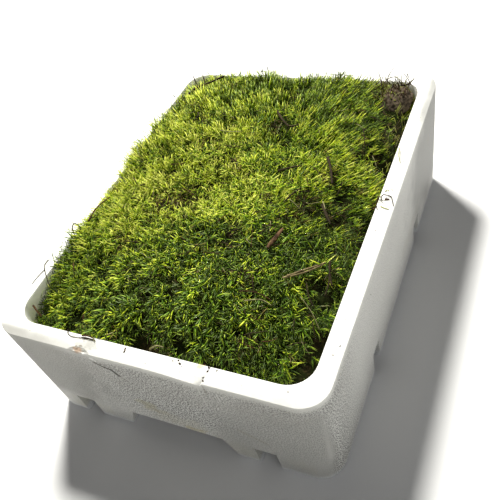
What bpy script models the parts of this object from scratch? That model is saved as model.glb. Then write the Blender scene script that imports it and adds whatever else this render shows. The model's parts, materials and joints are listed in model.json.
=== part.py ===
# Living moss filling a moulded foam box, with the litter that lies on it.
# X runs along the short side, Y along the long side, Z up; metres.
# The origin is on the ground, under the middle of the box.

import math

import bmesh
import bpy
from mathutils import Vector, noise
from mathutils.bvhtree import BVHTree

MM = 0.001

# Foam box
RIM_WIDTH = 300 * MM
RIM_LENGTH = 400 * MM
BOX_HEIGHT = 132 * MM
WALL = 15 * MM
OUTER_DRAFT = 3 * MM  # how far each outer face leans in, from rim to ground
INNER_DRAFT = 2 * MM  # the same for the inner faces, from rim to floor
CORNER_RADIUS = 23 * MM
INNER_CORNER_RADIUS = 21.7 * MM
CORNER_STEPS = 8
EDGE_ROUND = 2 * MM
FOOT_ROUND = 6 * MM
CLEAR_HEIGHT = 32 * MM  # the end arches and the drain notches reach this high
UNDERSIDE_HEIGHT = 37 * MM  # the hollow under the floor reaches this high
FLOOR_THICKNESS = 15 * MM
SKIRT_WALL = 18 * MM
ARCH_GROUND_WIDTH = 116 * MM
ARCH_TOP_WIDTH = 92 * MM
NOTCH_WIDTH = 20 * MM
END_NOTCHES = (-100 * MM, 86 * MM)  # along X on the front; turned half round on the back
SIDE_NOTCHES = (-76 * MM, 86 * MM)  # along Y on the right; turned half round on the left
CHIP_PLACE = (-57 * MM, -201.5 * MM, 133 * MM)
CHIP_REACH = (12 * MM, 5.5 * MM, 5.5 * MM)
CRACK_X = 57 * MM  # hairline crack across the front rim
CRACK_WIDTH = 1.4 * MM
CRACK_DEPTH = 9 * MM

# Moss, with heights counted from the rim
WALL_GAP = 0.6 * MM
FLOOR_GAP = 0.3 * MM
MOSS_CELL = 7.4 * MM
MIDDLE_RISE = 17 * MM
RIGHT_RISE = 0 * MM
FRONT_RISE = -1 * MM
LEFT_RISES = (  # distance along Y and rise beside the left wall, in millimetres
    (-110, 9),
    (-70, 8),
    (-28, 2),
    (-4, 4),
    (26, 13),
    (70, 11),
    (88, 5),
    (116, 0),
    (170, -2),
)
BACK_RISES = (  # distance along X and rise beside the back wall, in millimetres
    (-130, -6),
    (-100, 2),
    (-64, 6),
    (20, 4),
    (44, 9),
    (66, 7),
    (92, -4),
    (110, 1),
    (126, -5),
)
RIGHT_FALL = (14 * MM, 9 * MM)  # how deep the moss drops beside the wall, and how far in
FRONT_FALL = (9 * MM, 9 * MM)
CUSHION_SIZE = 34 * MM
CUSHION_HEIGHT = 7 * MM
SWELL_SIZE = 95 * MM
SWELL_HEIGHT = 5 * MM
EDGE_CALM = 0.3  # share of the cushions and swells that is left beside the walls
NOISE_SHIFT = 3.7
HOLLOWS = (  # x, y, radius, depth: where the moss lies low or parts, in millimetres
    (-124, -166, 42, 20),  # front left corner
    (-134, 184, 27, 9),  # back left corner
    (98, 4, 13, 8),
    (105, -20, 10, 6),
    (124, 59, 16, 9),
    (-82, 29, 16, 4),
    (-23, -1, 14, 4),
    (-76, -170, 11, 6),
    (-11, -175, 13, 8),
    (-79, -112, 9, 5),
    (24, -171, 10, 5),
    (56, -181, 13, 7),
    (120, -156, 10, 5),
    (22, -71, 11, 3),
    (82, -18, 9, 4),
)
RISES = (  # x, y, radius, height: tufts that stand out of the mat, in millimetres
    (-36, 78, 22, 3),
    (40, -120, 20, 3),
)

# Clod of peat in the back right corner
CLOD_PLACE = (114 * MM, 158 * MM, 127 * MM)
CLOD_REACH = (16.5 * MM, 21 * MM, 11 * MM)
CLOD_ROUGHNESS = 0.16
CLOD_CLEARANCE = 1.05  # the hole for it in the moss, as a multiple of its size

# Litter
LAY_GAP = 0.7 * MM  # between a piece of litter and the faceted moss under it
SAMPLE_STEP = 2.5 * MM
TWIG_STEP = 6 * MM
TWIGS = {  # name: (points in millimetres, radius at the thick and the thin end, colour)
    "twig_right": (((90, -101), (102, -88), (114, -76)), 1.6, 1.1, "tan"),
    "twig_short": (((117, -74), (119.5, -84), (124, -94)), 1.0, 0.7, "dark"),
    "needle_left": (((-118, -77), (-121, -64), (-121, -53), (-117, -40)), 0.8, 0.5, "rust"),
    "stem_dark": (((80, 41), (87, 27), (93, 11)), 1.4, 1.0, "dark"),
    "twig_bent": (((7, 103), (18, 89), (29, 79), (38, 82)), 1.3, 0.8, "dark"),
}
BACK_TWIG = ((-119, 136), (-112, 151), (-102, 157), (-86, 171))
BACK_TWIG_RADII = (1.4, 0.9)
BACK_FORKS = (  # start and end in millimetres, the end with its rise over the start
    ((-113, 151), (-122, 162), 7),
    ((-105, 155.4), (-111, 166), 6),
)
FORK_RADIUS = 0.8 * MM
ROOT_POINTS = ((-77, -183.5), (-72, -188.5), (-62, -188), (-52, -187), (-42, -184))
ROOT_RADII = (0.9, 0.6)
FLAKES = {  # name: (start, end, width, thickness in millimetres, curl in radians, colour)
    "bark_flake": ((65, -77), (70, -52), 7.0, 1.3, 0.5, "rust"),
    "blade_pale": ((91, -14), (105, -34), 3.2, 0.8, 0.7, "pale"),
}

COLOURS = {  # base colour, roughness
    "foam": ((0.82, 0.82, 0.79), 0.75),
    "moss": ((0.14, 0.22, 0.02), 0.85),
    "peat": ((0.05, 0.03, 0.02), 0.95),
    "tan": ((0.30, 0.17, 0.08), 0.8),
    "dark": ((0.06, 0.04, 0.03), 0.85),
    "rust": ((0.22, 0.08, 0.04), 0.8),
    "pale": ((0.45, 0.38, 0.24), 0.75),
}

FLOOR_TOP = UNDERSIDE_HEIGHT + FLOOR_THICKNESS
MOSS_HALF_WIDTH = RIM_WIDTH / 2 - WALL - WALL_GAP
MOSS_HALF_LENGTH = RIM_LENGTH / 2 - WALL - WALL_GAP
MOSS_CORNER = INNER_CORNER_RADIUS - WALL_GAP
MOSS_FLOOR = FLOOR_TOP + FLOOR_GAP
LONG_CUT = 1.2  # cutters run this many times the width or length they cut through


def new_collection(name):
    made = bpy.data.collections.new(name)
    bpy.context.scene.collection.children.link(made)
    return made


def material(name):
    if name in bpy.data.materials:
        return bpy.data.materials[name]
    colour, roughness = COLOURS[name]
    made = bpy.data.materials.new(name)
    made.use_nodes = True
    shader = made.node_tree.nodes["Principled BSDF"]
    shader.inputs["Base Color"].default_value = (*colour, 1.0)
    shader.inputs["Roughness"].default_value = roughness
    shader.inputs["Metallic"].default_value = 0.0
    return made


def mesh_object(name, shape, collection, colour=None):
    """An object from a bmesh, which is freed."""
    data = bpy.data.meshes.new(name)
    shape.to_mesh(data)
    shape.free()
    made = bpy.data.objects.new(name, data)
    collection.objects.link(made)
    if colour:
        data.materials.append(material(colour))
    return made


def as_cutter(made):
    made.hide_render = True
    made.display_type = "WIRE"
    return made


def add_boolean(target, tool, operation="DIFFERENCE"):
    step = target.modifiers.new(tool.name, "BOOLEAN")
    step.object = tool
    step.operation = operation
    step.solver = "EXACT"


# Foam box


def round_box(width, length, radius, low, high, low_inset=0.0):
    """An upright block with round corners whose low end is inset on each side."""
    shape = bmesh.new()
    bmesh.ops.create_cube(shape, size=1.0)
    bmesh.ops.scale(shape, vec=(width, length, high - low), verts=shape.verts)
    bmesh.ops.translate(shape, vec=(0, 0, (high + low) / 2), verts=shape.verts)
    upright = [e for e in shape.edges if abs(e.verts[0].co.z - e.verts[1].co.z) > MM]
    bmesh.ops.bevel(
        shape, geom=upright, offset=radius, segments=CORNER_STEPS, profile=0.5, affect="EDGES"
    )
    low_verts = [v for v in shape.verts if v.co.z < (high + low) / 2]
    shrink = (1 - 2 * low_inset / width, 1 - 2 * low_inset / length, 1)
    bmesh.ops.scale(shape, vec=shrink, verts=low_verts)
    return shape


def arch_cutter(collection):
    """The arch through the front and back skirts, wider at the ground."""
    shape = bmesh.new()
    bmesh.ops.create_cube(shape, size=1.0)
    slope = (ARCH_GROUND_WIDTH - ARCH_TOP_WIDTH) / 2 / CLEAR_HEIGHT
    for vert in shape.verts:
        z = CLEAR_HEIGHT if vert.co.z > 0 else -CLEAR_HEIGHT
        half = ARCH_TOP_WIDTH / 2 + slope * (CLEAR_HEIGHT - z)
        vert.co = (math.copysign(half, vert.co.x), vert.co.y * RIM_LENGTH * LONG_CUT, z)
    return as_cutter(mesh_object("arches", shape, collection))


def notch_cutter(name, place, along_x, collection):
    """A drain notch through one skirt wall."""
    depth = 3 * SKIRT_WALL
    shape = bmesh.new()
    bmesh.ops.create_cube(shape, size=1.0)
    size = (NOTCH_WIDTH, depth, 2 * CLEAR_HEIGHT)
    if not along_x:
        size = (depth, NOTCH_WIDTH, 2 * CLEAR_HEIGHT)
    bmesh.ops.scale(shape, vec=size, verts=shape.verts)
    bmesh.ops.translate(shape, vec=(*place, 0), verts=shape.verts)
    return as_cutter(mesh_object(name, shape, collection))


def notch_cutters(collection):
    cutters = []
    for turn in (1, -1):
        for number, x in enumerate(END_NOTCHES):
            place = (turn * x, -turn * RIM_LENGTH / 2)
            cutters.append(notch_cutter(f"end_notch_{turn}_{number}", place, True, collection))
        for number, y in enumerate(SIDE_NOTCHES):
            place = (turn * RIM_WIDTH / 2, turn * y)
            cutters.append(notch_cutter(f"side_notch_{turn}_{number}", place, False, collection))
    return cutters


def chip_cutter(collection):
    """The bite that is broken out of the front rim."""
    shape = bmesh.new()
    bmesh.ops.create_icosphere(shape, subdivisions=3, radius=1.0)
    for vert in shape.verts:
        rough = 1 + 0.22 * noise.noise(vert.co * 2.1 + Vector((4.0, 1.0, 0.0)))
        vert.co = Vector(CHIP_PLACE) + rough * vert.co * Vector(CHIP_REACH)
    return as_cutter(mesh_object("rim_chip", shape, collection))


def crack_cutter(collection):
    """A narrow wedge across the front rim, open at the top."""
    shape = bmesh.new()
    bmesh.ops.create_cone(
        shape,
        cap_ends=True,
        segments=3,
        radius1=CRACK_DEPTH,
        radius2=CRACK_DEPTH,
        depth=2 * WALL,
    )
    for vert in shape.verts:
        across, up, along = vert.co.y, vert.co.x, vert.co.z
        vert.co = (
            CRACK_X + across * CRACK_WIDTH / CRACK_DEPTH + 0.12 * along,
            WALL / 2 - RIM_LENGTH / 2 + along,
            BOX_HEIGHT + CRACK_DEPTH / 2 - up,
        )
    bmesh.ops.recalc_face_normals(shape, faces=shape.faces)
    return as_cutter(mesh_object("rim_crack", shape, collection))


def make_box(parts, cutters):
    body = round_box(RIM_WIDTH, RIM_LENGTH, CORNER_RADIUS, 0.0, BOX_HEIGHT, OUTER_DRAFT)
    ground = [e for e in body.edges if max(v.co.z for v in e.verts) < MM]
    bmesh.ops.bevel(
        body, geom=ground, offset=FOOT_ROUND, segments=3, profile=0.5, affect="EDGES"
    )
    box = mesh_object("foam_box", body, parts, "foam")

    inner = round_box(
        RIM_WIDTH - 2 * WALL,
        RIM_LENGTH - 2 * WALL,
        INNER_CORNER_RADIUS,
        FLOOR_TOP,
        BOX_HEIGHT + WALL,
        INNER_DRAFT,
    )
    under = round_box(
        RIM_WIDTH - 2 * (SKIRT_WALL + OUTER_DRAFT),
        RIM_LENGTH - 2 * (SKIRT_WALL + OUTER_DRAFT),
        INNER_CORNER_RADIUS - OUTER_DRAFT,
        -UNDERSIDE_HEIGHT,
        UNDERSIDE_HEIGHT,
    )
    add_boolean(box, as_cutter(mesh_object("inside", inner, cutters)))
    add_boolean(box, as_cutter(mesh_object("underside", under, cutters)))
    add_boolean(box, arch_cutter(cutters))
    for cutter in notch_cutters(cutters):
        add_boolean(box, cutter)

    rounding = box.modifiers.new("edges", "BEVEL")
    rounding.width = EDGE_ROUND
    rounding.segments = 2
    rounding.limit_method = "ANGLE"
    rounding.angle_limit = math.radians(40)

    add_boolean(box, chip_cutter(cutters))
    add_boolean(box, crack_cutter(cutters))
    return box


# Moss


def smooth_fall(distance, reach):
    """1 at no distance, falling softly to 0 past the reach."""
    return math.exp(-((distance / reach) ** 2))


def rise_along(places, at):
    """The rise at a place between measured ones, in metres."""
    at /= MM
    if at <= places[0][0]:
        return places[0][1] * MM
    for (start, low), (end, high) in zip(places, places[1:]):
        if at <= end:
            share = (at - start) / (end - start)
            return (low + (high - low) * share * share * (3 - 2 * share)) * MM
    return places[-1][1] * MM


def moss_height(x, y):
    """Height of the shoot tips over the ground."""
    u = x / MOSS_HALF_WIDTH
    v = y / MOSS_HALF_LENGTH
    sides = (
        (max(0.0, -u) ** 5, rise_along(LEFT_RISES, y)),
        (max(0.0, u) ** 5, RIGHT_RISE),
        (max(0.0, -v) ** 5, FRONT_RISE),
        (max(0.0, v) ** 5, rise_along(BACK_RISES, x)),
    )
    weight = sum(w for w, _ in sides) + 1e-6
    edge = sum(w * rise for w, rise in sides) / weight
    inner = (1 - min(1.0, abs(u)) ** 3.5) * (1 - min(1.0, abs(v)) ** 3.5)
    height = BOX_HEIGHT + edge + (MIDDLE_RISE - edge) * inner

    height -= RIGHT_FALL[0] * smooth_fall(MOSS_HALF_WIDTH - x, RIGHT_FALL[1])
    height -= FRONT_FALL[0] * smooth_fall(MOSS_HALF_LENGTH + y, FRONT_FALL[1])

    spot = Vector((x, y, 0))
    nearest = noise.voronoi(spot / CUSHION_SIZE + Vector((0, 0, NOISE_SHIFT)))[0][0]
    cushions = CUSHION_HEIGHT * (0.3 - nearest**2)
    swells = SWELL_HEIGHT * noise.noise(spot / SWELL_SIZE + Vector((NOISE_SHIFT,) * 3))
    height += (cushions + swells) * (EDGE_CALM + (1 - EDGE_CALM) * inner**0.5)

    for px, py, radius, depth in HOLLOWS:
        height -= depth * MM * smooth_fall(math.hypot(x - px * MM, y - py * MM), radius * MM)
    for px, py, radius, rise in RISES:
        height += rise * MM * smooth_fall(math.hypot(x - px * MM, y - py * MM), radius * MM)
    return height


def rounded(x, y):
    """A point of the square grid, drawn in so that the grid's corners are round."""
    cx = MOSS_HALF_WIDTH - MOSS_CORNER
    cy = MOSS_HALF_LENGTH - MOSS_CORNER
    dx, dy = abs(x) - cx, abs(y) - cy
    if dx <= 0 or dy <= 0:
        return x, y
    shrink = max(dx, dy) / math.hypot(dx, dy)
    return math.copysign(cx + dx * shrink, x), math.copysign(cy + dy * shrink, y)


def wall_lean(z):
    """How far the inner walls have leaned in at a height."""
    cut_top = BOX_HEIGHT + WALL
    return INNER_DRAFT * max(0.0, cut_top - z) / (cut_top - FLOOR_TOP)


def draw_in(vert, inset):
    vert.co.x *= 1 - inset / MOSS_HALF_WIDTH
    vert.co.y *= 1 - inset / MOSS_HALF_LENGTH


def moss_shape():
    """The mat's form: its top is where the shoot tips reach, its sides and base are whole."""
    shape = bmesh.new()
    bmesh.ops.create_grid(
        shape,
        x_segments=round(2 * MOSS_HALF_WIDTH / MOSS_CELL),
        y_segments=round(2 * MOSS_HALF_LENGTH / MOSS_CELL),
        size=1.0,
    )
    for vert in shape.verts:
        x, y = rounded(vert.co.x * MOSS_HALF_WIDTH, vert.co.y * MOSS_HALF_LENGTH)
        vert.co = (x, y, moss_height(x, y))
        draw_in(vert, wall_lean(vert.co.z))
    border = [e for e in shape.edges if e.is_boundary]
    skirt = bmesh.ops.extrude_edge_only(shape, edges=border)["geom"]
    base = [item for item in skirt if isinstance(item, bmesh.types.BMVert)]
    for vert in base:
        vert.co.z = MOSS_FLOOR
        draw_in(vert, INNER_DRAFT + EDGE_ROUND)
    ring = [e for e in shape.edges if e.is_boundary]
    bmesh.ops.contextual_create(shape, geom=ring)
    bmesh.ops.recalc_face_normals(shape, faces=shape.faces)
    return shape


def clod_shape(scale):
    """A rough clod, flattened a little underneath."""
    shape = bmesh.new()
    bmesh.ops.create_icosphere(shape, subdivisions=3, radius=1.0)
    for vert in shape.verts:
        rough = 1 + CLOD_ROUGHNESS * noise.fractal(vert.co * 1.9, 1.0, 2.0, 2)
        out = scale * rough * vert.co
        out.z = max(out.z, -0.72 * scale)
        vert.co = Vector(CLOD_PLACE) + out * Vector(CLOD_REACH)
    return shape


# Litter


def smooth_route(points, step):
    """Points every step along a smooth curve through the given ones."""
    knots = [Vector(p) for p in points]
    knots = [2 * knots[0] - knots[1], *knots, 2 * knots[-1] - knots[-2]]
    route = []
    for a, b, c, d in zip(knots, knots[1:], knots[2:], knots[3:]):
        count = max(1, round((c - b).length / step))
        for i in range(count):
            t = i / count
            route.append(
                0.5
                * (
                    2 * b
                    + (c - a) * t
                    + (2 * a - 5 * b + 4 * c - d) * t**2
                    + (3 * b - 3 * c + d - a) * t**3
                )
            )
    return [*route, knots[-2]]


def top_at(surfaces, x, y):
    """Height of the highest surface under a point."""
    hits = [s.ray_cast(Vector((x, y, 1.0)), Vector((0, 0, -1)))[0] for s in surfaces]
    return max(hit.z for hit in hits if hit)


def resting_line(profile):
    """Start and end height of a stiff straight piece laid on a profile of (distance, height)."""
    middle = profile[-1][0] / 2
    for i, (s0, h0) in enumerate(profile):
        for s1, h1 in profile[i + 1 :]:
            if not s0 <= middle <= s1:
                continue
            slope = (h1 - h0) / (s1 - s0)
            start = h0 - slope * s0
            if all(start + slope * s >= h - 1e-7 for s, h in profile):
                return start, start + slope * profile[-1][0]
    return profile[0][1], profile[-1][1]


def laid(points, half_width, clearance, surfaces):
    """The route of a stiff piece lying on the surfaces, as points in space."""
    route = smooth_route([(x * MM, y * MM, 0) for x, y in points], SAMPLE_STEP)
    travelled = [0.0]
    for a, b in zip(route, route[1:]):
        travelled.append(travelled[-1] + (b - a).length)
    profile = []
    for distance, point in zip(travelled, route):
        beside = [(dx, dy) for dx in (-half_width, 0, half_width) for dy in (-half_width, 0, half_width)]
        height = max(top_at(surfaces, point.x + dx, point.y + dy) for dx, dy in beside)
        profile.append((distance, height + clearance))
    start, end = resting_line(profile)
    for distance, point in zip(travelled, route):
        point.z = start + (end - start) * distance / travelled[-1]
    return route


def tube(name, route, radii, collection, colour):
    """A twig: a curve with a round section that thins along its way, made a closed mesh."""
    data = bpy.data.curves.new(name, "CURVE")
    data.dimensions = "3D"
    data.bevel_depth = 1.0
    data.bevel_resolution = 1
    data.use_fill_caps = True
    spline = data.splines.new("POLY")
    spline.points.add(len(route) - 1)
    for i, point in enumerate(route):
        share = i / (len(route) - 1)
        spline.points[i].co = (*point, 1.0)
        spline.points[i].radius = radii[0] + (radii[1] - radii[0]) * share
    data.materials.append(material(colour))
    made = bpy.data.objects.new(name, data)
    collection.objects.link(made)
    return made


def meshed(made):
    """The same tube as a mesh whose caps are joined to its side, so that it can be cut or joined."""
    graph = bpy.context.evaluated_depsgraph_get()
    data = bpy.data.meshes.new_from_object(made.evaluated_get(graph))
    shape = bmesh.new()
    shape.from_mesh(data)
    bmesh.ops.remove_doubles(shape, verts=shape.verts, dist=0.01 * MM)
    shape.to_mesh(data)
    shape.free()
    name = made.name
    fresh = bpy.data.objects.new(name + "_mesh", data)
    made.users_collection[0].objects.link(fresh)
    bpy.data.objects.remove(made)
    fresh.name = name
    return fresh


def surface_of(made):
    """The surface of an object as built, to lay something on."""
    graph = bpy.context.evaluated_depsgraph_get()
    data = bpy.data.meshes.new_from_object(made.evaluated_get(graph))
    shape = bmesh.new()
    shape.from_mesh(data)
    found = BVHTree.FromBMesh(shape)
    shape.free()
    bpy.data.meshes.remove(data)
    return found


def thinned(route):
    """Every few samples of a route, with both ends kept."""
    stride = round(TWIG_STEP / SAMPLE_STEP)
    return [*route[:-1:stride], route[-1]]


def flake(name, start, end, width, thickness, curl, collection, colour, surfaces):
    """A thin flake or blade, bowed across its width and tapered at both ends."""
    along = (Vector(end) - Vector(start)) * MM
    route = laid((start, end), width * MM / 2, thickness * MM / 2 + LAY_GAP, surfaces)
    rise = route[-1].z - route[0].z
    shape = bmesh.new()
    bmesh.ops.create_grid(shape, x_segments=8, y_segments=4, size=0.5)
    side = Vector((-along.y, along.x)).normalized()
    for vert in shape.verts:
        share = vert.co.x + 0.5
        half = width * MM / 2 * (0.35 + 0.65 * math.sin(math.pi * min(1.0, share * 0.85 + 0.12)))
        ragged = 1 + 0.2 * noise.noise(Vector((share * 6, vert.co.y * 4, width)))
        across = 2 * vert.co.y * half * ragged
        bow = curl * (half - across**2 / half)
        flat = Vector(start) * MM + along * share + side * across
        vert.co = (flat.x, flat.y, route[0].z + rise * share + bow)
    made = mesh_object(name, shape, collection, colour)
    thicken = made.modifiers.new("thickness", "SOLIDIFY")
    thicken.thickness = thickness * MM
    thicken.offset = 0.0
    return made


def make_litter(parts, cutters, moss_surface, box_surface):
    under = [moss_surface]
    for name, (points, thick, thin, colour) in TWIGS.items():
        route = laid(points, thick * MM, thick * MM + LAY_GAP, under)
        twig = tube(name, thinned(route), (thick * MM, thin * MM), parts, colour)
        under.append(surface_of(twig))

    thick, thin = (r * MM for r in BACK_TWIG_RADII)
    route = laid(BACK_TWIG, thick, thick + LAY_GAP, [moss_surface, box_surface])
    stem = meshed(tube("twig_back", thinned(route), (thick, thin), parts, "dark"))
    for number, (start, end, rise) in enumerate(BACK_FORKS):
        nearest = min(route, key=lambda p: math.hypot(p.x - start[0] * MM, p.y - start[1] * MM))
        tip = Vector((end[0] * MM, end[1] * MM, nearest.z + rise * MM))
        radii = (FORK_RADIUS, FORK_RADIUS * 0.6)
        fork = meshed(tube(f"fork_{number}", [nearest, tip], radii, cutters, "dark"))
        add_boolean(stem, as_cutter(fork), "UNION")

    thick, thin = (r * MM for r in ROOT_RADII)
    route = laid(ROOT_POINTS, thick, thick + LAY_GAP, [moss_surface, box_surface])
    tube("root_front", thinned(route), (thick, thin), parts, "dark")

    for name, (start, end, width, thickness, curl, colour) in FLAKES.items():
        flake(name, start, end, width, thickness, curl, parts, colour, [moss_surface])


def main():
    for old in list(bpy.data.objects):
        bpy.data.objects.remove(old)
    parts = new_collection("moss_clump_in_box")
    cutters = new_collection("cutters")

    box = make_box(parts, cutters)
    shape = moss_shape()
    moss_surface = BVHTree.FromBMesh(shape)
    moss = mesh_object("moss_clump", shape, parts, "moss")
    add_boolean(moss, as_cutter(mesh_object("clod_hole", clod_shape(CLOD_CLEARANCE), cutters)))
    mesh_object("peat_lump", clod_shape(1.0), parts, "peat")

    make_litter(parts, cutters, moss_surface, surface_of(box))


main()
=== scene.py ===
import json
import math
import random

import bmesh
import bpy
from mathutils import Euler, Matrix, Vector, noise
from mathutils.bvhtree import BVHTree

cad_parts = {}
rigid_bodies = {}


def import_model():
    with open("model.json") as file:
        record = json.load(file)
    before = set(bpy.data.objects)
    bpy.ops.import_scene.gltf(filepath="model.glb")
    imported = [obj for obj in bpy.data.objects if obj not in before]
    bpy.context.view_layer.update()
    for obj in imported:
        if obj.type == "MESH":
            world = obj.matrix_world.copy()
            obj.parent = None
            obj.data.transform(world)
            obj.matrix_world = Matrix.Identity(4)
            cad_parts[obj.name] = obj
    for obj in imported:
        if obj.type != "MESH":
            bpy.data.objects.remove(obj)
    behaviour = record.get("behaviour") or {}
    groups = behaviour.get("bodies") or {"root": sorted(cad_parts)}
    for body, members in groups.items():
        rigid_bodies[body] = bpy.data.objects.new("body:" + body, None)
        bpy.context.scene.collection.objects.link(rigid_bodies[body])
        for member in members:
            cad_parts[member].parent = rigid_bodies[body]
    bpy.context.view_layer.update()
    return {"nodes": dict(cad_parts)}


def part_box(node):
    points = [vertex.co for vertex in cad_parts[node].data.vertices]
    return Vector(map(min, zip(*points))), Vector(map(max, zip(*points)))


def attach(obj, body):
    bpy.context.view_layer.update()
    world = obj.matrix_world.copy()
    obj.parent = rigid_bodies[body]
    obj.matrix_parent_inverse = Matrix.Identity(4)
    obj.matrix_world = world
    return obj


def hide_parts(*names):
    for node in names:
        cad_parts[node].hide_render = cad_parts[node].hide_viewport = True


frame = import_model()
mm = 0.001
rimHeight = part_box("foam_box")[1][2]
mossLow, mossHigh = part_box("moss_clump")
print("frame loaded")

camera = {
    "place": (0.2567, -0.3739, 0.5129),
    "turn": (42.953, 12.210, 22.268),  # degrees
    "lens": 44.776,
    "sensor": 36.0,
}
studio = {
    "world": 0.08,
    "lights": {  # place, size in metres, power in watts, colour; all aimed at the moss
        "keyLight": ((-0.70, 0.86, 1.82), 0.4, 92.0, (1.0, 0.985, 0.93)),
        "fillLight": ((0.95, -0.8, 0.7), 1.0, 2.6, (1.0, 1.0, 0.99)),
        "bounceLight": ((0.0, -0.8, 0.12), 0.5, 0.12, (1.0, 0.97, 0.9)),
    },
}


def linked(name, data):
    # a new object in the scene
    made = bpy.data.objects.new(name, data)
    bpy.context.scene.collection.objects.link(made)
    return made


def makeCamera():
    data = bpy.data.cameras.new("camera")
    data.lens = camera["lens"]
    data.sensor_width = camera["sensor"]
    made = linked("camera", data)
    made.location = camera["place"]
    made.rotation_euler = Euler([math.radians(a) for a in camera["turn"]])
    bpy.context.scene.camera = made


def makeLights():
    for name, (place, size, power, colour) in studio["lights"].items():
        data = bpy.data.lights.new(name, "AREA")
        data.shape = "DISK"
        data.size = size
        data.energy = power
        data.color = colour
        made = linked(name, data)
        made.location = place
        aim = Vector((0, 0, rimHeight)) - Vector(place)
        made.rotation_euler = aim.to_track_quat("-Z", "Y").to_euler()
    world = bpy.data.worlds.new("studio")
    world.use_nodes = True
    fill(world.node_tree.nodes["Background"], {"Color": (1, 1, 1), "Strength": studio["world"]})
    bpy.context.scene.world = world
    bpy.context.scene.view_settings.view_transform = "Standard"


class Wire:
    # an output socket that can be added, subtracted and multiplied
    def __init__(self, socket):
        self.socket = socket

    def __add__(self, other):
        return reckon("ADD", self, other)

    def __sub__(self, other):
        return reckon("SUBTRACT", self, other)

    def __rsub__(self, other):
        return reckon("SUBTRACT", other, self)

    def __mul__(self, other):
        return reckon("MULTIPLY", self, other)


def socketOf(sockets, key):
    # the socket with this number, or the enabled one with this name
    if isinstance(key, int):
        return sockets[key]
    return next(s for s in sockets if s.name == key and s.enabled)


def fill(made, values):
    # links or sets the inputs of a node
    for key, value in values.items():
        socket = socketOf(made.inputs, key)
        if isinstance(value, Wire):
            socket.id_data.links.new(value.socket, socket)
        else:
            socket.default_value = (*value, 1.0) if socket.type == "RGBA" else value


def node(tree, kind, values, **settings):
    made = tree.nodes.new(kind)
    for key, value in settings.items():
        setattr(made, key, value)
    fill(made, values)
    return made


def wired(tree, kind, values, out=0, **settings):
    # one output of a new node
    return Wire(socketOf(node(tree, kind, values, **settings).outputs, out))


def treeOf(*values):
    return next(v.socket.id_data for v in values if isinstance(v, Wire))


def reckon(operation, a, b=0.0, **settings):
    return wired(treeOf(a, b), "ShaderNodeMath", {0: a, 1: b}, operation=operation, **settings)


def vectored(operation, a, b=(0, 0, 0), out=0):
    second = "Scale" if operation == "SCALE" else 1
    return wired(treeOf(a, b), "ShaderNodeVectorMath", {0: a, second: b}, out, operation=operation)


def apart(vector):
    return [Wire(s) for s in node(treeOf(vector), "ShaderNodeSeparateXYZ", {0: vector}).outputs]


def mixed(share, a, b, kind="MIX"):
    values = {"Factor": share, "A": a, "B": b}
    return wired(treeOf(share, a, b), "ShaderNodeMix", values, "Result", data_type="RGBA", blend_type=kind)


def ramp(value, stops):
    # each stop is a place with a colour or a shade of grey
    made = node(treeOf(value), "ShaderNodeValToRGB", {"Fac": value})
    points = made.color_ramp.elements
    while len(points) < len(stops):
        points.new(0.5)
    for point, (place, colour) in zip(points, stops):
        point.position = place
        point.color = (*colour, 1.0) if isinstance(colour, tuple) else (colour, colour, colour, 1.0)
    return Wire(made.outputs["Color"])


def noisy(vector, scale, detail=3.0, rough=0.55, out="Fac"):
    values = {"Vector": vector, "Scale": scale, "Detail": detail, "Roughness": rough}
    return wired(treeOf(vector), "ShaderNodeTexNoise", values, out)


def cells(vector, scale, randomness=1.0, **settings):
    values = {"Vector": vector, "Scale": scale, "Randomness": randomness}
    made = node(treeOf(vector), "ShaderNodeTexVoronoi", values, **settings)
    return {s.name: Wire(s) for s in made.outputs if s.enabled}


def between(value, low, high, least=0.0, most=1.0, form="SMOOTHSTEP"):
    # runs from least at low to most at high
    values = {"Value": value, "From Min": low, "From Max": high, "To Min": least, "To Max": most}
    return wired(treeOf(value), "ShaderNodeMapRange", values, interpolation_type=form)


def bumped(height, distance):
    values = {"Height": height, "Distance": distance, "Strength": 1.0}
    return wired(treeOf(height), "ShaderNodeBump", values)


def newMaterial(name):
    # a material, its tree, its shader and its object coordinates
    made = bpy.data.materials.new(name)
    made.use_nodes = True
    tree = made.node_tree
    return made, tree, tree.nodes["Principled BSDF"], wired(tree, "ShaderNodeTexCoord", {}, "Object")


def newGroup(name, inputs):
    # the inputs and the end of a node group that puts out one mask
    tree = bpy.data.node_groups.new(name, "ShaderNodeTree")
    for key, value in {"Vector": (0, 0, 0), "Place": (0, 0, 0), **inputs}.items():
        kind = "NodeSocketFloat" if isinstance(value, float) else "NodeSocketVector"
        tree.interface.new_socket(key, in_out="INPUT", socket_type=kind).default_value = value
    tree.interface.new_socket("Mask", in_out="OUTPUT", socket_type="NodeSocketFloat")
    start = tree.nodes.new("NodeGroupInput").outputs
    return {s.name: Wire(s) for s in start if s.name}, tree.nodes.new("NodeGroupOutput")


def spotGroup():
    # a soft blot with a ragged edge round one place
    given, end = newGroup("spot", {"Reach": (0.01, 0.01, 0.01), "Ragged": 0.6, "Grain": 300.0})
    away = vectored("SUBTRACT", given["Vector"], given["Place"])
    length = vectored("LENGTH", vectored("DIVIDE", away, given["Reach"]), out="Value")
    edge = length + (noisy(given["Vector"], given["Grain"]) - 0.5) * given["Ragged"]
    fill(end, {"Mask": between(edge, 1.0, 0.55)})
    return end.id_data


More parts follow.
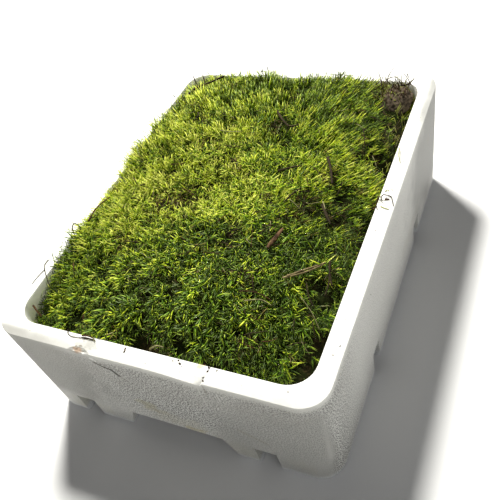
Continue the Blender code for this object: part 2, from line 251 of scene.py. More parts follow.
def streakGroup():
    # a thin ragged line from one place along a vector
    given, end = newGroup("streak", {"Run": (0.01, 0.0, 0.0), "Width": 0.0008, "Grain": 500.0})
    away = vectored("SUBTRACT", given["Vector"], given["Place"])
    along = vectored("DOT_PRODUCT", away, given["Run"], "Value")
    whole = vectored("DOT_PRODUCT", given["Run"], given["Run"], "Value")
    share = reckon("DIVIDE", along, whole, use_clamp=True)
    off = vectored("SUBTRACT", away, vectored("SCALE", given["Run"], share))
    width = given["Width"] * (noisy(given["Vector"], given["Grain"]) + 0.5)
    reached = reckon("DIVIDE", vectored("LENGTH", off, out="Value"), width)
    fill(end, {"Mask": between(reached, 1.0, 0.35)})
    return end.id_data


makeCamera()
makeLights()
print("camera and lights placed")


def addObject(name, shape, finish):
    data = bpy.data.meshes.new(name)
    shape.to_mesh(data)
    shape.free()
    made = linked(name, data)
    data.materials.append(finish)
    data.polygons.foreach_set("use_smooth", [True] * len(data.polygons))
    return made


def mergedCopy(cadNode):
    shape = bmesh.new()
    shape.from_mesh(frame["nodes"][cadNode].data)
    bmesh.ops.remove_doubles(shape, verts=shape.verts, dist=0.001 * mm)
    return shape


def settle(made, cadNodes):
    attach(made, "root")
    if cadNodes:
        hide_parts(*cadNodes)


def falling(distance, reach):
    return math.exp(-((distance / reach) ** 2))


def step01(value, low, high):
    return min(1.0, max(0.0, (value - low) / (high - low)))


def noiseVector(place):
    # the vector noise of mathutils differs from run to run, this one doesn't
    return Vector([noise.noise(place + Vector((0.0, 0.0, salt))) for salt in (0.0, 29.5, 61.3)])


def wave(x, y, size, salt):
    # noise over the ground with humps of this size in millimetres
    return noise.noise(Vector((x / (size * mm), y / (size * mm), salt)))


def inMetres(values):
    return [v * mm for v in values]


def drawn(dice, ranges):
    return [dice.uniform(*ends) for ends in ranges]


foamBox = {
    "beadSize": 2.8 * mm,
    "pitSpacing": 1.9 * mm,
    "beadDepth": 0.55 * mm,
    "warp": 0.8 * mm,  # how far noise shifts the beads
    "colour": (0.75, 0.75, 0.715),
    # painted shade: the colour for the grooves and pinholes between the beads
    "grooveShade": (0.045, 0.045, 0.04),
    # painted light: the lighter colour of the walls inside
    "insideLightened": (0.94, 0.93, 0.88),
    # painted light: the colour of the feet near the floor
    "footBounceLight": (0.82, 0.85, 0.88),
    "speckColour": (0.2, 0.13, 0.07),
    "grains": {  # scales of the noises
        "warp": 90.0,
        "pits": 1500.0,
        "patches": 17.0,
        "surface": 900.0,
        "broken": 330.0,
        "clouds": 14.0,
        "specks": 95.0,
    },
    "relief": {"groove": 0.75, "bead": 0.25, "pit": 0.5, "surface": 0.22},
    "front": -185 * mm,  # the front wall lies before this
    "cutsAcross": [*range(-70, -44, 2), *range(0, 56, 7), 56.4, 57.6, 60, 66, 74],  # millimetres
    "cutsUp": (84, 92, 100, 107, 113, 118, 122, 126),
    "crackX": 57 * mm,
    "bulge": 1.6 * mm,  # how far the rim stands out left of the crack
    "bulgeReach": (26 * mm, 24 * mm),  # along the rim and down the face
    "chip": (-57 * mm, 14 * mm),  # place along the front rim and reach
    "chipNoise": (0.45 * mm, 2.2 * mm),  # height and size
    # the beads' share: axis, from, to, least, most; then axis, from, to of where it counts
    "seen": [
        (0, -120, -10, 0.40, 1.0, 1, -188, -194),
        (1, -190, -110, 1.0, 0.22, 0, 141, 146),
        (2, 24, 62, 0.40, 1.0, 1, -188, -194),
        (2, 130, 121, 0.03, 1.0),
    ],
    "inside": ((0, 146, 141), (1, 194, 189)),  # axis, outer and inner end of the change
    "stainsAndPaintedLight": [  # place and reach in millimetres, strength, colour, raggedness, grain
        # painted shade: the first grey patch stands for the shade in the chip's shallow hollow; the second
        # greys the broken rim top
        ((-53.5, -192.5, 132), (12, 8, 5), 0.6, (0.44, 0.43, 0.385), 1.4, 240),
        ((-49, -190, 132), (9, 6, 4), 0.5, (0.34, 0.34, 0.31), 2.6, 420),
        ((-58.3, -198.3, 131), (6, 2.6, 4), 0.85, (0.62, 0.36, 0.19), 1.4, 420),
        # painted light: the chipped lip and two crumbs below the rim are painted lighter and white, as if lit
        ((-51, -199.3, 130), (7, 1.6, 2.5), 0.8, (0.80, 0.79, 0.75), 1.0, 300),
        ((-46, -199.8, 125), (3.2, 2, 2.2), 0.9, (0.97, 0.97, 0.95), 1.0, 500),
        ((-43.4, -199.8, 122.6), (1.9, 2, 1.5), 0.9, (0.97, 0.97, 0.95), 1.0, 500),
        ((-60.9, -198.2, 132), (1.4, 1.1, 2), 0.9, (0.16, 0.11, 0.05), 1.2, 700),
        ((-60.6, -195.6, 132), (1.3, 1.1, 2), 0.9, (0.16, 0.11, 0.05), 1.2, 700),
        ((-56.6, -194.6, 132), (2.2, 1.1, 2), 0.9, (0.10, 0.08, 0.04), 1.2, 700),
        ((-59.3, -197.1, 131), (1.1, 1.1, 2), 0.85, (0.22, 0.13, 0.05), 1.2, 700),
        ((50, -186, 132), (5, 3.5, 3), 0.7, (0.82, 0.66, 0.20), 1.6, 300),
        ((-17, -198, 62), (13, 12, 8), 0.30, (0.50, 0.46, 0.24), 2.0, 90),
        ((-8, -198, 54), (22, 12, 5), 0.22, (0.52, 0.47, 0.26), 2.0, 90),
        ((20, -198, 35), (12, 12, 6), 0.38, (0.52, 0.46, 0.22), 2.0, 110),
        ((8, -198, 45), (30, 12, 13), 0.16, (0.58, 0.54, 0.36), 2.2, 60),
        ((60, -198, 22), (34, 12, 18), 0.24, (0.58, 0.55, 0.38), 2.2, 60),
        ((-100, -198, 22), (30, 12, 16), 0.20, (0.60, 0.57, 0.42), 2.2, 60),
        ((118, -198, 26), (16, 12, 10), 0.22, (0.60, 0.55, 0.38), 2.2, 80),
        # painted shade: the front wall's left and right ends, the band below its rim and the far end of the
        # right wall are painted darker where less light falls
        ((-150, -199, 90), (125, 12, 85), 0.75, (0.25, 0.245, 0.225), 0.5, 40),
        ((125, -196, 60), (110, 14, 85), 0.7, (0.37, 0.37, 0.35), 0.5, 40),
        ((10, -200, 122), (190, 12, 44), 0.30, (0.48, 0.47, 0.43), 0.5, 40),
        ((150, 190, 80), (12, 160, 95), 0.7, (0.25, 0.25, 0.24), 0.5, 40),
        ((149, 144, 91), (5, 3, 8), 0.45, (0.40, 0.36, 0.30), 1.4, 200),
        ((148, 60, 40), (9, 40, 14), 0.14, (0.55, 0.52, 0.42), 2.2, 60),
    ],
    "streaks": [  # start, run and width in millimetres, strength, colour
        ((-46, -200.2, 119.8), (8.4, 0.1, -4.6), 2.0, 0.9, (0.10, 0.09, 0.07)),
        ((-37.6, -200.2, 115.2), (5.8, 0.1, -1.3), 2.2, 0.9, (0.08, 0.07, 0.055)),
        ((-31.8, -200.1, 113.9), (4.5, 0.2, -7.6), 2.6, 0.95, (0.07, 0.065, 0.055)),
        ((-41, -200.2, 121.0), (19, 0.1, -6.0), 1.4, 0.5, (0.18, 0.165, 0.13)),
        ((-30, -199.9, 108.0), (9, 0.2, -9), 1.5, 0.5, (0.20, 0.185, 0.15)),
        ((57.0, -200, 131), (0.6, 0.3, -14), 0.7, 0.45, (0.25, 0.21, 0.16)),
        ((70, -198.4, 63), (22, 0.25, -12), 2.6, 0.36, (0.30, 0.27, 0.19)),
        ((75, -197.7, 31), (7, 0.1, -5), 1.6, 0.40, (0.27, 0.24, 0.18)),
        ((-24, -198.6, 70), (14, 0.45, -20), 1.4, 0.40, (0.34, 0.29, 0.17)),
        ((-14, -198.6, 68), (4, 0.4, -18), 1.2, 0.34, (0.34, 0.29, 0.17)),
        ((12, -197.8, 36), (22, 0, 3), 1.3, 0.45, (0.42, 0.35, 0.13)),
    ],
}


def foamMaterial():
    made, tree, shader, where = newMaterial("foam")
    grains, relief = foamBox["grains"], foamBox["relief"]
    warp = vectored("SUBTRACT", noisy(where, grains["warp"], out="Color"), (0.5, 0.5, 0.5))
    x, y, z = apart(vectored("ADD", where, vectored("SCALE", warp, foamBox["warp"])))
    # flat cells that no outer face cuts edge on
    flat = wired(tree, "ShaderNodeCombineXYZ", {0: x + y, 1: z + y * 0.35})
    scale = 1 / foamBox["beadSize"]
    edge = cells(flat, scale, voronoi_dimensions="2D", feature="DISTANCE_TO_EDGE")["Distance"]
    centre = cells(flat, scale, voronoi_dimensions="2D")["Color"]
    bead = wired(tree, "ShaderNodeSeparateColor", {0: centre})
    groove = between(edge, 0.0, 0.14)
    # pinholes, evenly strewn
    holes = cells(flat, 1 / foamBox["pitSpacing"], 0.85, voronoi_dimensions="2D")["Distance"]
    pit = between(holes + noisy(where, grains["pits"], 2.0) * 0.45, 0.62, 0.44)
    # the beads show more in some places than in others
    parts = apart(where)
    seen = between(noisy(where, grains["patches"], 2.0), 0.38, 0.62, 0.8, 1.0, "LINEAR")
    for axis, near, far, least, most, *only in foamBox["seen"]:
        share = between(parts[axis], near * mm, far * mm, least, most)
        if only:
            outside = between(parts[only[0]], only[1] * mm, only[2] * mm, 1.0, 0.0)
            share = reckon("MAXIMUM", share, outside)
        seen = seen * share
    # painted light: the walls inside are smoother and painted lighter, standing in for light that passes
    # through the thin foam
    inner = between(parts[2], 30 * mm, 44 * mm)
    for axis, far, near in foamBox["inside"]:
        inner = inner * between(reckon("ABSOLUTE", parts[axis]), far * mm, near * mm)
    seen = seen * between(inner, 0.0, 1.0, 1.0, 0.2)
    height = groove * relief["groove"] + bead * relief["bead"] - pit * relief["pit"]
    height = height * seen + noisy(where, grains["surface"], 2.0) * relief["surface"]
    broken = between(noisy(where, grains["broken"], 2.0), 0.42, 0.56, 0.15, 1.0, "LINEAR")
    # painted shade: grooves and pinholes between the beads are painted dark, as shade falls in them
    paintedGrooveShade = reckon("MAXIMUM", (1.0 - groove) * broken * 0.4, pit) * seen
    colour = mixed(paintedGrooveShade, foamBox["colour"], foamBox["grooveShade"])
    cloudy = ramp(noisy(where, grains["clouds"], 4.0), [(0.3, 0.93), (0.7, 1.0)])
    colour = mixed(1.0, colour, cloudy, "MULTIPLY")
    colour = mixed(inner * 0.9, colour, foamBox["insideLightened"])
    colour = mixed(1.0, colour, ramp(bead, [(0.0, 0.965), (1.0, 1.0)]), "MULTIPLY")
    # fine dirt specks
    specks = cells(where, grains["specks"])
    rare = wired(tree, "ShaderNodeSeparateColor", {0: specks["Color"]}, 1)
    speck = ramp(specks["Distance"], [(0.02, 1.0), (0.05, 0.0)]) * reckon("GREATER_THAN", rare, 0.86)
    colour = mixed(speck * 0.7, colour, foamBox["speckColour"])
    spot, streak = spotGroup(), streakGroup()
    marks = []
    for place, reach, strength, tint, ragged, grain in foamBox["stainsAndPaintedLight"]:
        values = {"Reach": inMetres(reach), "Ragged": ragged, "Grain": grain}
        marks.append((spot, place, values, strength, tint))
    for place, run, width, strength, tint in foamBox["streaks"]:
        values = {"Run": inMetres(run), "Width": width * mm}
        marks.append((streak, place, values, strength, tint))
    for group, place, values, strength, tint in marks:
        values.update({"Vector": where, "Place": inMetres(place)})
        mask = wired(tree, "ShaderNodeGroup", values, "Mask", node_tree=group)
        colour = mixed(mask * strength, colour, tint)
    # painted light: the feet are painted lighter and a little bluish near the floor, standing in for light
    # off the floor
    floorBounce = between(parts[2], 13 * mm, 5 * mm, 0.0, 0.55)
    values = {
        "Base Color": mixed(floorBounce, colour, foamBox["footBounceLight"]),
        "Roughness": ramp(groove, [(0.0, 0.85), (1.0, 0.55)]),
        "Specular IOR Level": 0.35,
        "Subsurface Weight": 0.4,
        "Subsurface Radius": (1.0, 1.0, 0.95),
        "Subsurface Scale": 12 * mm,
        "Normal": bumped(height, foamBox["beadDepth"]),
    }
    fill(shader, values)
    return made


def makeFoamBox():
    shape = mergedCopy("foam_box")
    tilt = math.radians(0.4)
    bmesh.ops.dissolve_limit(shape, angle_limit=tilt, verts=shape.verts, edges=shape.edges)
    # extra cuts where the front wall is bent or broken
    cuts = [((x * mm, 0, 0), (1, 0, 0)) for x in foamBox["cutsAcross"]]
    cuts += [((0, 0, z * mm), (0, 0, 1)) for z in foamBox["cutsUp"]]
    for place, facing in cuts:
        near = [f for f in shape.faces if f.calc_center_median().y < foamBox["front"]]
        around = [v for f in near for v in f.verts] + [e for f in near for e in f.edges]
        around = list(dict.fromkeys(around)) + near
        bmesh.ops.bisect_plane(shape, geom=around, plane_co=place, plane_no=facing, dist=0.01 * mm)
    reachX, reachZ = foamBox["bulgeReach"]
    chipX, chipReach = foamBox["chip"]
    rough, grain = foamBox["chipNoise"]
    for vert in shape.verts:
        x, y, z = vert.co
        if y < foamBox["front"] and x < foamBox["crackX"] and z > 40 * mm:
            share = falling(foamBox["crackX"] - x, reachX) * falling(rimHeight - z, reachZ)
            vert.co.y -= foamBox["bulge"] * share
        if math.hypot(x - chipX, z - rimHeight) < chipReach and y < -195 * mm and z > 127 * mm:
            vert.co.z += 0.5 * (rimHeight - z)
            vert.co += rough * noiseVector(vert.co / grain)
    bmesh.ops.triangulate(shape, faces=shape.faces)
    made = addObject("foamBox", shape, foamMaterial())
    made.data.set_sharp_from_angle(angle=math.radians(50))
    made.modifiers.new("weighted", "WEIGHTED_NORMAL").keep_sharp = True
    graph = bpy.context.evaluated_depsgraph_get()
    plain = made.data
    made.data = bpy.data.meshes.new_from_object(made.evaluated_get(graph))
    made.modifiers.clear()
    bpy.data.meshes.remove(plain)
    settle(made, ["foam_box"])


makeFoamBox()
print("foam box finished")

moss = {
    "depth": 12.5 * mm,  # from the shoot tips down to the mat
    "lowest": 62 * mm,  # the mat keeps its CAD shape below this height
    "loweredOver": 30 * mm,  # and is lowered fully from this much above it
    "clump": 14 * mm,  # size of the tufts that the shoots stand in
    "spacing": 1.64 * mm,
    "density": 520000.0,  # most shoots to a square metre
    "seed": 11,
    "turn": 2.4,  # how far shoots spin, in radians
    "wobble": 0.2,  # how far they lean astray for each unit they rise
    "lowShare": 0.52,  # share of the shoots that stay low and fill
    "tallSizes": (0.84, 1.26),
    "lowSizes": (0.38, 0.64),
    "girths": (0.85, 1.2),
    "deadTones": (0.02, 0.17),
    "leastLiving": 0.25,  # tone
    "tiles": (("Left", "Right"), ("Front", "Middle", "Back")),
    # painted light: the moss round this middle is painted brighter, where the light falls most on its dome
    "sunned": (-55 * mm, 20 * mm, 75 * mm),  # middle and reach of the brightest part
    "tones": {  # what each influence adds to the tone of the shoots
        "always": 0.82,
        "bright": 0.17,
        "deep": -0.15,
        # painted shade: shoots in dark patches, thin gaps and at the tuft borders are painted darker, as
        # shade falls between the tufts
        "dark": -0.20,
        "gap": -0.08,
        "combed": -0.23,
        "border": -0.20,
        "combedBorder": -0.06,
        "own": 0.10,
        "fine": 0.06,
        "broad": 0.07,
        # painted light: the moss by the left wall is painted brighter, against the wall's shade
        "left": 0.07,
        "right": 0.03,
        "back": -0.18,
        "sunned": 0.29,
    },
    "rootColours": [
        (0.28, (0.004, 0.004, 0.002)),
        (0.5, (0.013, 0.011, 0.004)),
        (0.72, (0.050, 0.038, 0.014)),
    ],
    "rootGreen": (0.012, 0.022, 0.003),
    "patches": {  # x, y and radius in millimetres, strength
        "dark": [
            (98, 4, 12, 1.0), (105, -20, 10, 0.9), (124, 59, 16, 1.0), (-82, 29, 12, 0.6),
            (-23, -1, 12, 0.6), (-11, -173, 12, 1.0), (-76, -116, 8, 0.5), (24, -171, 12, 0.7),
            (55, -181, 14, 0.9), (120, -156, 12, 0.8), (133, 43, 14, 0.9), (49, -56, 9, 0.6),
            (22, -71, 10, 0.6), (82, -18, 10, 0.7), (129, -136, 14, 0.8), (131, -20, 14, 0.8),
            (112, 100, 20, 0.4), (-20, 100, 7, 0.8), (-88, 91, 8, 0.8), (18, 84, 9, 0.5),
            (60, 55, 9, 0.5), (-5, -120, 10, 0.5), (10, 150, 12, 0.7), (62, 118, 10, 0.8),
            (122, 108, 12, 0.8), (112, 131, 14, 0.9), (98, 140, 8, 0.7), (114, -100, 12, 0.9),
            (104, -92, 8, 0.7), (-80, -160, 10, 1.0), (-70, -163, 7, 0.8), (62, -64, 8, 0.6),
            (88, -60, 8, 0.6),
        ],
        "brown": [
            (-77, 91, 8, 0.9), (-62, -37, 9, 0.8), (-51, -26, 9, 0.9), (-50, 53, 9, 0.7),
            (84, 26, 9, 0.9), (90, -20, 9, 0.8), (134, -32, 12, 0.9), (74, -149, 9, 0.6),
            (2, -181, 12, 0.8), (69, -7, 9, 0.9), (68, -32, 10, 0.9), (118, 168, 26, 1.0),
            (96, 156, 14, 0.8), (128, 120, 14, 0.8), (-36, -30, 12, 0.6), (30, -10, 9, 0.5),
            (50, -105, 12, 0.5), (-20, 30, 9, 0.6), (-52, -38, 15, 0.8), (-72, -84, 9, 0.8),
            (126, 92, 12, 0.8), (104, 172, 16, 0.8), (-95, 118, 8, 0.6), (104, 66, 9, 0.6),
        ],
        "bright": [
            (-36, 78, 26, 0.9), (-70, -10, 24, 0.9), (-78, -77, 20, 0.9), (59, -103, 18, 0.7),
            (-83, 73, 18, 0.7), (-66, -141, 16, 0.6), (5, 112, 18, 0.9), (107, -118, 18, 0.5),
            (-8, -154, 14, 0.5), (15, 5, 28, 0.8), (119, 8, 10, 0.5), (-40, -45, 26, 0.8),
            (-10, 45, 24, 0.7), (60, 30, 16, 0.5), (20, -45, 20, 0.5), (-100, -40, 16, 0.6),
            (-106, -110, 22, 1.0), (-112, -145, 18, 0.9), (-110, -70, 18, 0.8), (-118, -20, 16, 0.6),
        ],
        "bare": [
            (130, -118, 4, 1.0), (131, -131, 6, 1.0), (130, -142, 7.5, 1.0), (129, -152, 7.5, 1.0),
            (126, -162, 8, 1.0), (119, -171, 8, 1.0), (108, -181, 4, 0.9), (132, -88, 3.5, 0.8),
            (133, -60, 3.5, 0.9), (133, -20, 4, 0.9), (132, 8, 4, 0.8), (36, -183, 5, 0.8),
            (133, 36, 4, 0.8), (131, 62, 5, 0.8), (130, 84, 6, 0.8), (131, 104, 6, 0.9),
            (128, 124, 7, 0.9), (131, 142, 6, 0.9), (109, 149, 6, 0.9), (112, 140, 6, 1.0),
        ],
        "deep": [
            (120, -177, 30, 0.9), (38, -190, 26, 0.7), (-22, 158, 40, 0.8), (-107, 26, 16, 0.5),
            (-60, -150, 14, 0.6), (-58, 153, 24, 0.8), (102, 105, 30, 0.6), (90, -150, 30, 0.7),
            (40, 155, 34, 0.8), (110, -60, 26, 0.6), (-120, 40, 16, 0.5), (0, -80, 18, 0.5),
            (60, -170, 30, 0.7), (124, -110, 20, 0.6), (-30, -135, 18, 0.5), (-118, 8, 14, 0.4),
        ],
    },
}


def patched(kind, x, y):
    # how strongly a place lies in one kind of patch, with ragged borders
    ragged = 1 + 0.55 * wave(x, y, 9, 3.0 + len(kind))
    most = 0.0
    for px, py, radius, strength in moss["patches"][kind]:
        away = math.hypot(x - px * mm, y - py * mm)
        most = max(most, strength * falling(away * ragged, radius * mm))
    return most


def matMaterial():
    made, tree, shader, where = newMaterial("matRoots")
    stretched = wired(tree, "ShaderNodeMapping", {"Vector": where, "Scale": (1, 1, 0.35)})
    fibres = noisy(stretched, 420.0, 5.0, 0.65)
    green = ramp(noisy(where, 60.0, 4.0), [(0.38, 0.0), (0.58, 0.7)])
    values = {
        "Base Color": mixed(green, ramp(fibres, moss["rootColours"]), moss["rootGreen"]),
        "Roughness": 0.9,
        "Specular IOR Level": 0.05,
        "Normal": bumped(fibres, 1.4 * mm),
    }
    fill(shader, values)
    return made


def leanAt(x, y):
    # how far the shoots lean for each unit they rise, from the large to the small
    u, v = x / mossHigh[0], y / mossHigh[1]
    inClump, _, _ = clumpAt(x, y)
    swirl = noiseVector(Vector((x / (24 * mm), y / (24 * mm), 1.7))).xy
    right = step01(u, 0.05, 0.55) * step01(v, -0.5, -0.1)
    front = step01(v, -0.05, -0.65)
    side = Vector((0.15 + 0.75 * u, 0.55 * v))
    side += Vector((0.75, 0.0)) * right
    side += Vector((0.55 * u, -0.35)) * front
    loose = 0.75 - 0.4 * max(right, front, step01(v, 0.1, 0.5))
    spread = 0.03 + 0.05 * front + 0.02 * step01(v, 0.5, 0.1)
    return side + loose * swirl + spread * inClump / mm


def rising(side):
    # how long a leaning shoot grows, and how high it then stands
    steep = math.hypot(1.0, side.length)
    longer = min(1.3, steep)
    return longer, longer / steep


def makeMat():
    # the root mat: the CAD form with its top lowered by the height of the shoots
    shape = mergedCopy("moss_clump")
    bmesh.ops.subdivide_edges(shape, edges=shape.edges, cuts=1, use_grid_fill=True)
    for _ in range(2):
        shape.normal_update()
        top = [v for v in shape.verts if v.co.z > 90 * mm and v.normal.z > 0.5]
        bmesh.ops.smooth_vert(shape, verts=top, factor=0.5, use_axis_z=True)
    shape.normal_update()
    for vert in shape.verts:
        share = min(1.0, max(0.0, (vert.co.z - moss["lowest"]) / moss["loweredOver"]))
        rough = 1 + 0.2 * noise.noise(vert.co / (11 * mm)) if vert.normal.z > 0.4 else 1.0
        stands = 0.35 + 0.65 * rising(leanAt(vert.co.x, vert.co.y))[1]
        vert.co.z -= moss["depth"] * stands * rough * share * share * (3 - 2 * share)
    bmesh.ops.recalc_face_normals(shape, faces=shape.faces)
    return addObject("mossMat", shape, matMaterial())


def clumpAt(x, y):
    # the way from the nearest tuft's middle, its share of the way to the border, the tuft's own value
    size = moss["clump"]
    spotAt = Vector((x / size, y / size, 7.3))
    distances, points = noise.voronoi(spotAt)
    border = min(1.0, distances[0] / max(1e-6, distances[1]))
    return (spotAt - points[0]).xy * size, border, noise.cell(points[0] * 7.7) * 2 - 1


def kindAt(u, v):
    # 0 for upright shoots, 0.5 for fine curled ones, 1 for swept ones
    upright = step01(v, 0.15, 0.4)
    upright = max(upright, step01(-u, 0.62, 0.82) * step01(v, -0.55, -0.35))
    upright = max(upright, step01(u, 0.15, 0.45) * step01(v, -0.5, -0.2))
    swept = step01(0.45 * (u - 0.2) - v, 0.25, 0.5)
    return 0.5 - 0.5 * upright + 0.5 * swept * (1 - upright)


def heldBack(side, x, y, tip):
    # near a wall that stands higher than the tips, the shoots lean less towards it
    spare = 0.5 if tip < rimHeight + 1 * mm else 7.0
    for axis, half, sign in [(a, mossHigh[a], s) for a in (0, 1) for s in (1, -1)]:
        room = half - sign * (x, y)[axis] + spare * mm
        most = max(0.0, room) / moss["depth"]
        if sign * side[axis] > most:
            side[axis] = sign * most


def markMat(mat):
    # per vertex: which way the shoots lean, how long they grow, their tone and their kind
    marks = {name: [] for name in ("lean", "grow", "tone", "dead", "crowd", "kind")}
    sunX, sunY, sunReach = moss["sunned"]
    for vert in mat.data.vertices:
        x, y, z = vert.co
        u, v = x / mossHigh[0], y / mossHigh[1]
        _, border, own = clumpAt(x, y)
        side = leanAt(x, y)
        combed = step01(0.4 * max(0.0, u) - v, 0.15, 0.65)
        here = {kind: patched(kind, x, y) for kind in moss["patches"]}
        dark, brown, bare = here["dark"], here["brown"], min(1.0, 1.6 * here["bare"])
        heldBack(side, x, y, z + moss["depth"] * rising(side)[1])
        gap = step01(wave(x, y, 5, 12.7), 0.28, 0.5)
        length = 1.08 - (0.50 + 0.12 * combed) * border**3
        length += 0.16 * noise.noise(Vector((x, y, 9 * mm)) / (7 * mm)) + 0.15 * step01(v, 0.35, 0.65)
        length *= (1 - 0.5 * dark) * (1 - 0.3 * brown) * (1 - 0.5 * bare) * (1 - 0.35 * gap) * rising(side)[0]
        here.update(
            always=1.0,
            gap=gap,
            combed=combed,
            border=border**2,
            combedBorder=combed * border**2,
            own=own,
            fine=wave(x, y, 6, 4.1),
            broad=wave(x, y, 45, 8.1),
            left=step01(-u, 0.3, 0.8),
            right=step01(u, 0.3, 0.7),
            back=step01(v, 0.2, 0.5),
            sunned=falling(math.hypot(x - sunX, 0.7 * (y - sunY)), sunReach),
        )
        marks["lean"] += (side.x, side.y, 1.0)
        marks["grow"].append(length)
        marks["tone"].append(sum(share * here[name] for name, share in moss["tones"].items()))
        marks["dead"].append(0.02 + 0.75 * brown)
        marks["crowd"].append(max(0, 1 - 1.1 * dark) * (1 - 0.5 * brown) * (1 - bare) * (1 - 0.7 * gap))
        marks["kind"].append(kindAt(u, v))
    for name, values in marks.items():
        form, key = ("FLOAT_VECTOR", "vector") if name == "lean" else ("FLOAT", "value")
        mat.data.attributes.new(name, form, "POINT").data.foreach_set(key, values)


class Blades:
    # gathers closed three-sided leaves into one small mesh
    def __init__(self):
        self.verts, self.faces, self.along, self.tint = [], [], [], []

    def leaf(self, start, heading, rise, length, bend, width, tint, rings):
        out = Vector((math.cos(heading), math.sin(heading), 0.0))
        side = Vector((-out.y, out.x, 0.0))
        centre, angle, reached = Vector(start), rise, 0.0
        first = len(self.verts)
        self.verts.append(centre.copy())
        self.along.append(0.0)
        # the length of each step and the width at its end
        steps = ((0.36, 1.0), (0.38, 0.8)) if rings == 2 else ((0.52, 1.0),)
        for step, share in steps:
            reached += step
            centre += length * step * (out * math.cos(angle) + Vector((0, 0, math.sin(angle))))
            angle -= bend / rings
            up = Vector((0, 0, math.cos(angle))) - out * math.sin(angle)
            half = width * share / 2
            self.verts += [centre + side * half, centre - side * half, centre - up * half * 0.6]
            self.along += [reached] * 3
        centre += length * (1 - reached) * (out * math.cos(angle) + Vector((0, 0, math.sin(angle))))
        self.verts.append(centre)
        self.along.append(1.0)
        a, tip = first + 1, len(self.verts) - 1
        for i in range(3):
            j = (i + 1) % 3
            self.faces.append((first, a + j, a + i))
            if rings == 2:
                b = a + 3
                self.faces += [(a + i, a + j, b + j), (a + i, b + j, b + i), (b + i, b + j, tip)]
            else:
                self.faces.append((a + i, a + j, tip))
        self.tint += [tint] * (len(self.verts) - first)


shoots = {
    "length": 12.0 * mm,
    "seed": 5,
    "number": 5,  # of each kind
    # leaves, rise, bend and heading spread in degrees, length and width in millimetres,
    # height of the foot as a share of the shoot, rings
    "kinds": {
        "upright": (
            (3, (72, 90), (-12, 24), 180, (12.0, 17.0), (0.60, 0.85), (0.00, 0.15), 2),
            (4, (50, 84), (-15, 20), 180, (4.0, 6.0), (0.60, 0.85), (0.10, 0.35), 1),
        ),
        "fine": (
            (4, (-5, 50), (-30, 60), 180, (7.0, 11.0), (0.55, 0.80), (0.60, 0.95), 2),
            (3, (10, 80), (0, 40), 180, (4.0, 6.5), (0.60, 0.85), (0.25, 0.55), 1),
        ),
        "swept": (
            (4, (55, 88), (30, 80), 60, (9.0, 14.0), (0.75, 1.05), (0.35, 0.80), 2),
            (3, (60, 88), (-10, 30), 180, (4.0, 7.0), (0.75, 1.00), (0.20, 0.45), 1),
        ),
        "low": ((6, (10, 75), (0, 50), 180, (6.0, 10.0), (0.95, 1.40), (0.35, 0.85), 1),),
    },
    "palette": [  # from dead through dark to bright leaves
        (0.00, (0.030, 0.020, 0.008)),
        (0.07, (0.110, 0.076, 0.022)),
        (0.13, (0.270, 0.205, 0.050)),
        (0.18, (0.060, 0.085, 0.005)),
        (0.32, (0.088, 0.156, 0.010)),
        (0.48, (0.174, 0.300, 0.012)),
        (0.62, (0.366, 0.508, 0.013)),
        (0.76, (0.580, 0.700, 0.020)),
        (0.90, (0.750, 0.810, 0.050)),
        (1.00, (0.860, 0.870, 0.180)),
    ],
    # painted shade: leaves darken and turn greener towards their bases, deep in the turf
    "shade": [(0.0, (0.10, 0.17, 0.08)), (0.32, (0.42, 0.58, 0.35)), (0.7, 1.0), (1.0, 1.0)],
    # painted highlight: the colours of the pale leaf tips
    "tips": [(0.40, (0.49, 0.63, 0.19)), (0.70, (0.82, 0.87, 0.12))],
}


def makeShootKinds():
    # little shoots in one collection: upright, fine and curled, swept, then low ones
    made = bpy.data.collections.new("shootKinds")
    dice = random.Random(shoots["seed"])
    length = shoots["length"]
    names = [kind for kind in shoots["kinds"] for _ in range(shoots["number"])]
    for number, kind in enumerate(names):
        blades = Blades()
        wide = 1.5 if kind == "upright" else 1.1
        for count, rises, bends, spread, lengths, widths, feet, rings in shoots["kinds"][kind]:
            for leaf in range(count):
                heading = dice.uniform(-spread, spread)
                if spread == 180:
                    heading = 360 * leaf / count + dice.uniform(-35, 35)
                bladeLength = dice.uniform(*lengths) * mm
                rise = math.radians(dice.uniform(*rises))
                foot = length * dice.uniform(*feet)
                foot -= max(0.0, foot + bladeLength * math.sin(rise) - length * 1.05)
                start = (*inMetres(drawn(dice, [(-wide, wide)] * 2)), foot)
                bend = math.radians(dice.uniform(*bends))
                width, tint = dice.uniform(*widths) * mm, dice.uniform(-1, 1)
                blades.leaf(start, math.radians(heading), rise, bladeLength, bend, width, tint, rings)
        data = bpy.data.meshes.new(f"shoot{number:02d}")
        data.from_pydata([tuple(v) for v in blades.verts], [], blades.faces)
        for name, values in (("along", blades.along), ("tint", blades.tint)):
            data.attributes.new(name, "FLOAT", "POINT").data.foreach_set("value", values)
        made.objects.link(bpy.data.objects.new(data.name, data))
    return made


def leafMaterial():
    # the OFBake map holds tone across and the way along the leaf upwards
    made, tree, shader, _ = newMaterial("mossLeaf")
    tone, along, _ = apart(wired(tree, "ShaderNodeUVMap", {}, uv_map="OFBake"))
    colour = mixed(1.0, ramp(tone, shoots["palette"]), ramp(along, shoots["shade"]), "MULTIPLY")
    # painted highlight: tips are painted paler, pale green in the shade and yellow green in the sun
    tipHighlight = ramp(along, [(0.60, 0.0), (1.0, 0.60)]) * ramp(tone, [(0.20, 0.0), (0.45, 1.0)])
    values = {
        "Base Color": mixed(tipHighlight, colour, ramp(tone, shoots["tips"])),
        "Roughness": ramp(along, [(0.0, 0.8), (1.0, 0.32)]),
        "Specular IOR Level": 0.24,
    }
    fill(shader, values)
    return made


